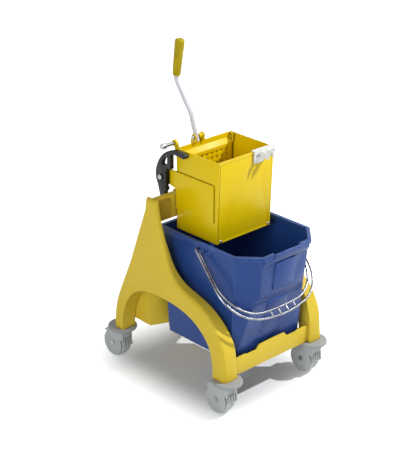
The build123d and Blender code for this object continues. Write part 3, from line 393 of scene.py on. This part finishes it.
def makeSoftShade():
    # smooth shading across gentle edges, creases at the sharp ones
    tree = bpy.data.node_groups.new("softShade", "GeometryNodeTree")
    tree.interface.new_socket(name="Geometry", in_out="INPUT", socket_type="NodeSocketGeometry")
    angle = tree.interface.new_socket(name="Sharp Angle", in_out="INPUT", socket_type="NodeSocketFloat")
    angle.default_value = radians(bends["crease"])
    tree.interface.new_socket(name="Geometry", in_out="OUTPUT", socket_type="NodeSocketGeometry")
    gin = addNode(tree, "NodeGroupInput")
    gout = addNode(tree, "NodeGroupOutput")
    edge = addNode(tree, "GeometryNodeInputMeshEdgeAngle")
    sharp = addNode(tree, "FunctionNodeCompare", data_type="FLOAT", operation="GREATER_THAN")
    smooth = addNode(tree, "GeometryNodeSetShadeSmooth", domain="FACE")
    crease = addNode(tree, "GeometryNodeSetShadeSmooth", domain="EDGE")
    crease.inputs["Shade Smooth"].default_value = False
    links = tree.links
    links.new(gin.outputs["Geometry"], smooth.inputs["Geometry"])
    links.new(smooth.outputs["Geometry"], crease.inputs["Geometry"])
    links.new(edge.outputs["Unsigned Angle"], sharp.inputs[0])
    links.new(gin.outputs["Sharp Angle"], sharp.inputs[1])
    links.new(sharp.outputs["Result"], crease.inputs["Selection"])
    links.new(crease.outputs["Geometry"], gout.inputs["Geometry"])
    return tree


softShade = makeSoftShade()
corners = ("front_left", "front_right", "rear_left", "rear_right")


def atCorners(*stems):
    return [stem + "_" + corner for stem in stems for corner in corners]


# the pieces that each finish covers, and the width of their rounded edges in metres
dress = {
    "frameYellow": dict(
        edge=0.0012,
        pieces=["side_panel_left", "side_panel_right", "rear_crossbar", "lower_rear_box", "front_crossbar"],
    ),
    # the covers take the shaded copy of the frame's yellow, which is painted shade
    "shadedCoverYellow": dict(edge=0.0012, pieces=["crossbar_cover_left", "crossbar_cover_right"]),
    "bucketBlue": dict(edge=0.0014, pieces=["bucket"]),
    "chromeWire": dict(edge=0.0, pieces=["bail_outer_wire", "bail_inner_wire", "bail_rungs"]),
    "wringerYellow": dict(
        edge=0.0005,
        pieces=["wringer_casing", "wringer_front_panel", "wringer_side_plate_left",
                "wringer_side_plate_right", "wringer_hook_left", "wringer_hook_right", "jaw_plate",
                "lever_lug", "jaw_hinge_pin_left", "jaw_hinge_pin_right"],
    ),
    "zincSteel": dict(
        edge=0.0004,
        pieces=["front_panel_rivets", "wringer_guide_pin", "clip_screws",
                "arm_bolt_left", "lever_bolt", "lever_nut", *atCorners("caster_stem", "axle")],
    ),
    "clipWhite": dict(edge=0.0010, pieces=["mop_handle_clip"]),
    "gripYellow": dict(edge=0.0, pieces=["lever_grip"]),
    "leverGrey": dict(edge=0.0, pieces=["lever_tube"]),
    "armBlack": dict(edge=0.0012, pieces=["side_arm_left"]),
    "discGrey": dict(edge=0.0, pieces=atCorners("bumper_disc")),
    "casterGrey": dict(edge=0.0009, pieces=atCorners("caster_fork", "wheel_hub")),
    "tyreGrey": dict(edge=0.0, pieces=atCorners("tyre")),
}


def wear(name, finishName, edgeWidth):
    piece = nodes[name]
    piece.data.materials.clear()
    piece.data.materials.append(finish[finishName])
    weld = piece.modifiers.new("weld", "WELD")
    weld.merge_threshold = bends["mergeWithin"]
    if edgeWidth:
        bevel = piece.modifiers.new("edge", "BEVEL")
        bevel.width = edgeWidth
        bevel.segments = bends["segments"]
        bevel.limit_method = "ANGLE"
        bevel.angle_limit = radians(bends["rounded"])
    piece.modifiers.new("shade", "NODES").node_group = softShade


for finishName, covered in dress.items():
    for name in covered["pieces"]:
        wear(name, finishName, covered["edge"])
print("solids dressed")


def pieceTree(name, inputs):
    # an empty geometry tree with named inputs, and its first and last nodes
    tree = bpy.data.node_groups.new(name, "GeometryNodeTree")
    tree.interface.new_socket(name="Geometry", in_out="INPUT", socket_type="NodeSocketGeometry")
    sockets = {}
    for label, kind in inputs:
        sockets[label] = tree.interface.new_socket(name=label, in_out="INPUT", socket_type=kind)
    tree.interface.new_socket(name="Geometry", in_out="OUTPUT", socket_type="NodeSocketGeometry")
    return tree, addNode(tree, "NodeGroupInput"), addNode(tree, "NodeGroupOutput"), sockets


def closeTree(tree, gin, gout, shape):
    # the shape made smooth, turned from instances to a mesh, and given its material
    smooth = addNode(tree, "GeometryNodeSetShadeSmooth", domain="FACE")
    real = addNode(tree, "GeometryNodeRealizeInstances")
    paint = addNode(tree, "GeometryNodeSetMaterial")
    links = tree.links
    links.new(shape, smooth.inputs["Geometry"])
    links.new(smooth.outputs[0], real.inputs["Geometry"])
    links.new(real.outputs[0], paint.inputs["Geometry"])
    links.new(gin.outputs["Material"], paint.inputs["Material"])
    links.new(paint.outputs[0], gout.inputs["Geometry"])


def growPiece(name, body, finishName, points, tree, sockets, values):
    # the tree's result on some points, as a plain mesh that rides on a body
    seed = bpy.data.objects.new(name + "_seed", bpy.data.meshes.new(name + "_seed"))
    seed.data.from_pydata(points, [], [])
    seed.data.materials.append(finish[finishName])
    scene.collection.objects.link(seed)
    grow = seed.modifiers.new("grow", "NODES")
    grow.node_group = tree
    for label, value in values.items():
        grow[sockets[label].identifier] = value
    grow[sockets["Material"].identifier] = finish[finishName]
    depsgraph = bpy.context.evaluated_depsgraph_get()
    mesh = bpy.data.meshes.new_from_object(seed.evaluated_get(depsgraph), depsgraph=depsgraph)
    mesh.name = name
    bpy.data.objects.remove(seed)
    piece = bpy.data.objects.new(name, mesh)
    scene.collection.objects.link(piece)
    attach(piece, body)


# the grip's axis from low to high as (y, z), and the flutes that run up it; start and end are shares of it
grip = dict(
    x=-0.0275, low=(0.1262, 0.822), high=(0.1115, 0.922), lowRadius=0.0105, highRadius=0.013,
    flutes=12, fluteRadius=0.0013, fluteSides=8, sunk=0.0006, start=0.06, end=0.90,
)


def makeFluteTree():
    tree, gin, gout, sockets = pieceTree("gripFlutes", [
        ("Count", "NodeSocketInt"), ("Low Radius", "NodeSocketFloat"), ("High Radius", "NodeSocketFloat"),
        ("Start", "NodeSocketFloat"), ("End", "NodeSocketFloat"), ("Flute Radius", "NodeSocketFloat"),
        ("Foot", "NodeSocketVector"), ("Lean", "NodeSocketFloat"), ("Material", "NodeSocketMaterial"),
    ])
    foot = addNode(tree, "ShaderNodeCombineXYZ")
    head = addNode(tree, "ShaderNodeCombineXYZ")
    line = addNode(tree, "GeometryNodeCurvePrimitiveLine")
    ring = setInputs(addNode(tree, "GeometryNodeCurvePrimitiveCircle"), Resolution=grip["fluteSides"])
    flute = setInputs(addNode(tree, "GeometryNodeCurveToMesh"), **{"Fill Caps": True})
    around = addNode(tree, "GeometryNodePoints")
    index = addNode(tree, "GeometryNodeInputIndex")
    share = addNode(tree, "ShaderNodeMath", operation="DIVIDE")
    angle = addNode(tree, "ShaderNodeMath", operation="MULTIPLY")
    angle.inputs[1].default_value = tau
    turn = addNode(tree, "ShaderNodeCombineXYZ")
    spread = addNode(tree, "GeometryNodeInstanceOnPoints")
    lean = addNode(tree, "ShaderNodeCombineXYZ")
    place = addNode(tree, "GeometryNodeTransform")
    links = tree.links
    links.new(gin.outputs["Low Radius"], foot.inputs["X"])
    links.new(gin.outputs["Start"], foot.inputs["Z"])
    links.new(gin.outputs["High Radius"], head.inputs["X"])
    links.new(gin.outputs["End"], head.inputs["Z"])
    links.new(foot.outputs[0], line.inputs["Start"])
    links.new(head.outputs[0], line.inputs["End"])
    links.new(gin.outputs["Flute Radius"], ring.inputs["Radius"])
    links.new(line.outputs[0], flute.inputs["Curve"])
    links.new(ring.outputs[0], flute.inputs["Profile Curve"])
    links.new(gin.outputs["Count"], around.inputs["Count"])
    links.new(index.outputs[0], share.inputs[0])
    links.new(gin.outputs["Count"], share.inputs[1])
    links.new(share.outputs[0], angle.inputs[0])
    links.new(angle.outputs[0], turn.inputs["Z"])
    links.new(around.outputs[0], spread.inputs["Points"])
    links.new(flute.outputs[0], spread.inputs["Instance"])
    links.new(turn.outputs[0], spread.inputs["Rotation"])
    links.new(spread.outputs[0], place.inputs["Geometry"])
    links.new(gin.outputs["Lean"], lean.inputs["X"])
    links.new(lean.outputs[0], place.inputs["Rotation"])
    links.new(gin.outputs["Foot"], place.inputs["Translation"])
    closeTree(tree, gin, gout, place.outputs[0])
    return tree, sockets


def makeGripFlutes():
    along = Vector((grip["high"][0] - grip["low"][0], grip["high"][1] - grip["low"][1]))

    def skinRadius(share):
        return grip["lowRadius"] + share * (grip["highRadius"] - grip["lowRadius"]) - grip["sunk"]

    tree, sockets = makeFluteTree()
    growPiece("grip_flutes", "press", "gripYellow", [(0, 0, 0)], tree, sockets, {
        "Count": grip["flutes"], "Flute Radius": grip["fluteRadius"],
        "Low Radius": skinRadius(grip["start"]), "High Radius": skinRadius(grip["end"]),
        "Start": grip["start"] * along.length, "End": grip["end"] * along.length,
        "Foot": (grip["x"], *grip["low"]), "Lean": -atan2(along.x, along.y),
    })


makeGripFlutes()

# weld beads where the bail's rungs meet its wires: pivot as (y, z), rungs at x, and for each wire
# the reach of its crown from the pivot and the shoulder as (x, reach) where the crown's arc begins
welds = dict(
    pivot=(-0.079, 0.427), restAngle=42.5, rungs=(-0.042, -0.014, 0.014, 0.042),
    wires=(dict(reach=0.2261, shoulder=(0.061, 0.2235)), dict(reach=0.2465, shoulder=(0.0817, 0.2369))),
    radius=0.0035, segments=16, rings=10,
)


def makeBeadTree():
    tree, gin, gout, sockets = pieceTree("weldBeads", [
        ("Bead Radius", "NodeSocketFloat"), ("Material", "NodeSocketMaterial"),
    ])
    bead = addNode(tree, "GeometryNodeMeshUVSphere")
    setInputs(bead, Segments=welds["segments"], Rings=welds["rings"])
    spread = addNode(tree, "GeometryNodeInstanceOnPoints")
    links = tree.links
    links.new(gin.outputs["Geometry"], spread.inputs["Points"])
    links.new(gin.outputs["Bead Radius"], bead.inputs["Radius"])
    links.new(bead.outputs["Mesh"], spread.inputs["Instance"])
    closeTree(tree, gin, gout, spread.outputs[0])
    return tree, sockets


def makeWelds():
    angle = radians(welds["restAngle"])
    pivotY, pivotZ = welds["pivot"]
    points = []
    for wire in welds["wires"]:
        halfWidth, shoulderReach = wire["shoulder"]
        sag = wire["reach"] - shoulderReach
        radius = (halfWidth**2 + sag**2) / (2 * sag)
        for x in welds["rungs"]:
            crown = wire["reach"] - radius + sqrt(radius**2 - x**2)
            points.append((x, pivotY - crown * cos(angle), pivotZ - crown * sin(angle)))
    tree, sockets = makeBeadTree()
    growPiece(
        "bail_welds", "bail", "chromeWire", points, tree, sockets,
        {"Bead Radius": welds["radius"]},
    )


makeWelds()
print("flutes and welds made")

# the floor is plain over shadeHalf, half a width and half a length, and lifts to white within shadeFade
stage = dict(
    floorSize=14.0, floorTone=(0.785, 0.80, 0.82), floorRough=0.9, floorGloss=0.1,
    shadeHalf=(0.12, 0.17), shadeFade=0.17, nearLift=0.0, farLift=0.8, worldFill=0.31,
    aim=(0.0, 0.0, 0.35),
    keyPlace=(3.2, -2.5, 4.6), keyPower=305.0, keySize=0.16,
    fillPlace=(-3.6, -1.5, 2.0), fillPower=66.0, fillSize=2.2,
)


def seenRays(tree):
    # 1 for what the camera, a reflection or a clear surface shows
    path = addNode(tree, "ShaderNodeLightPath")
    first = addNode(tree, "ShaderNodeMath", operation="MAXIMUM")
    second = addNode(tree, "ShaderNodeMath", operation="MAXIMUM")
    tree.links.new(path.outputs["Is Camera Ray"], first.inputs[0])
    tree.links.new(path.outputs["Is Glossy Ray"], first.inputs[1])
    tree.links.new(first.outputs[0], second.inputs[0])
    tree.links.new(path.outputs["Is Transmission Ray"], second.inputs[1])
    return second.outputs[0]


def makeFloor():
    # pale floor that lifts to white away from the object, and keeps its shadow
    size = stage["floorSize"] / 2
    mesh = bpy.data.meshes.new("floor")
    square = [(-size, -size, 0), (size, -size, 0), (size, size, 0), (-size, size, 0)]
    mesh.from_pydata(square, [], [(0, 1, 2, 3)])
    floor = bpy.data.objects.new("floor", mesh)
    scene.collection.objects.link(floor)
    material = bpy.data.materials.new("paleFloor")
    material.use_nodes = True
    tree = material.node_tree
    shader = tree.nodes["Principled BSDF"]
    setInputs(shader, **{
        "Base Color": (*stage["floorTone"], 1), "Roughness": stage["floorRough"],
        "Specular IOR Level": stage["floorGloss"],
    })
    coords = addNode(tree, "ShaderNodeTexCoord")
    side = addNode(tree, "ShaderNodeVectorMath", operation="ABSOLUTE")
    past = addNode(tree, "ShaderNodeVectorMath", operation="SUBTRACT")
    past.inputs[1].default_value = (*stage["shadeHalf"], 0)
    outside = addNode(tree, "ShaderNodeVectorMath", operation="MAXIMUM")
    away = addNode(tree, "ShaderNodeVectorMath", operation="LENGTH")
    lift = addNode(tree, "ShaderNodeMapRange", interpolation_type="SMOOTHSTEP")
    setInputs(lift, **{
        "From Min": 0.0, "From Max": stage["shadeFade"],
        "To Min": stage["nearLift"], "To Max": stage["farLift"],
    })
    glow = addNode(tree, "ShaderNodeEmission")
    both = addNode(tree, "ShaderNodeAddShader")
    links = tree.links
    links.new(coords.outputs["Object"], side.inputs[0])
    links.new(side.outputs[0], past.inputs[0])
    links.new(past.outputs[0], outside.inputs[0])
    links.new(outside.outputs[0], away.inputs[0])
    links.new(away.outputs["Value"], lift.inputs["Value"])
    links.new(times(tree, seenRays(tree), lift.outputs["Result"]), glow.inputs["Strength"])
    links.new(shader.outputs[0], both.inputs[0])
    links.new(glow.outputs[0], both.inputs[1])
    links.new(both.outputs[0], tree.nodes["Material Output"].inputs["Surface"])
    mesh.materials.append(material)


def makeWorld():
    # white where it is seen, and a dimmer fill on the object
    world = bpy.data.worlds.new("studio")
    world.use_nodes = True
    scene.world = world
    tree = world.node_tree
    tree.nodes.clear()
    bright = setInputs(addNode(tree, "ShaderNodeBackground"), Color=(1, 1, 1, 1), Strength=1.0)
    fill = setInputs(addNode(tree, "ShaderNodeBackground"), Color=(1, 1, 1, 1), Strength=stage["worldFill"])
    mix = addNode(tree, "ShaderNodeMixShader")
    out = addNode(tree, "ShaderNodeOutputWorld")
    tree.links.new(seenRays(tree), mix.inputs[0])
    tree.links.new(fill.outputs[0], mix.inputs[1])
    tree.links.new(bright.outputs[0], mix.inputs[2])
    tree.links.new(mix.outputs[0], out.inputs["Surface"])


def aimAt(piece, place, target, roll=0.0):
    piece.location = place
    look = (Vector(target) - Vector(place)).to_track_quat("-Z", "Y").to_matrix().to_4x4()
    piece.rotation_euler = (look @ Matrix.Rotation(roll, 4, "Z")).to_euler()


def areaLamp(name, place, power, size):
    data = bpy.data.lights.new(name, "AREA")
    data.energy = power
    data.size = size
    lamp = bpy.data.objects.new(name, data)
    scene.collection.objects.link(lamp)
    aimAt(lamp, place, stage["aim"])


makeFloor()
makeWorld()
areaLamp("keyLamp", stage["keyPlace"], stage["keyPower"], stage["keySize"])
areaLamp("fillLamp", stage["fillPlace"], stage["fillPower"], stage["fillSize"])

# lens and sensor in millimetres, roll in degrees
view = dict(
    lens=107.8, sensor=36, place=(-2.2831, -2.3982, 1.8794), target=(0.00244, 0.0329, 0.41417), roll=0.092,
)
cameraData = bpy.data.cameras.new("camera")
cameraData.lens = view["lens"]
cameraData.sensor_width = view["sensor"]
camera = bpy.data.objects.new("camera", cameraData)
scene.collection.objects.link(camera)
aimAt(camera, view["place"], view["target"], radians(view["roll"]))
scene.camera = camera
scene.view_settings.view_transform = "Standard"
print("stage set")
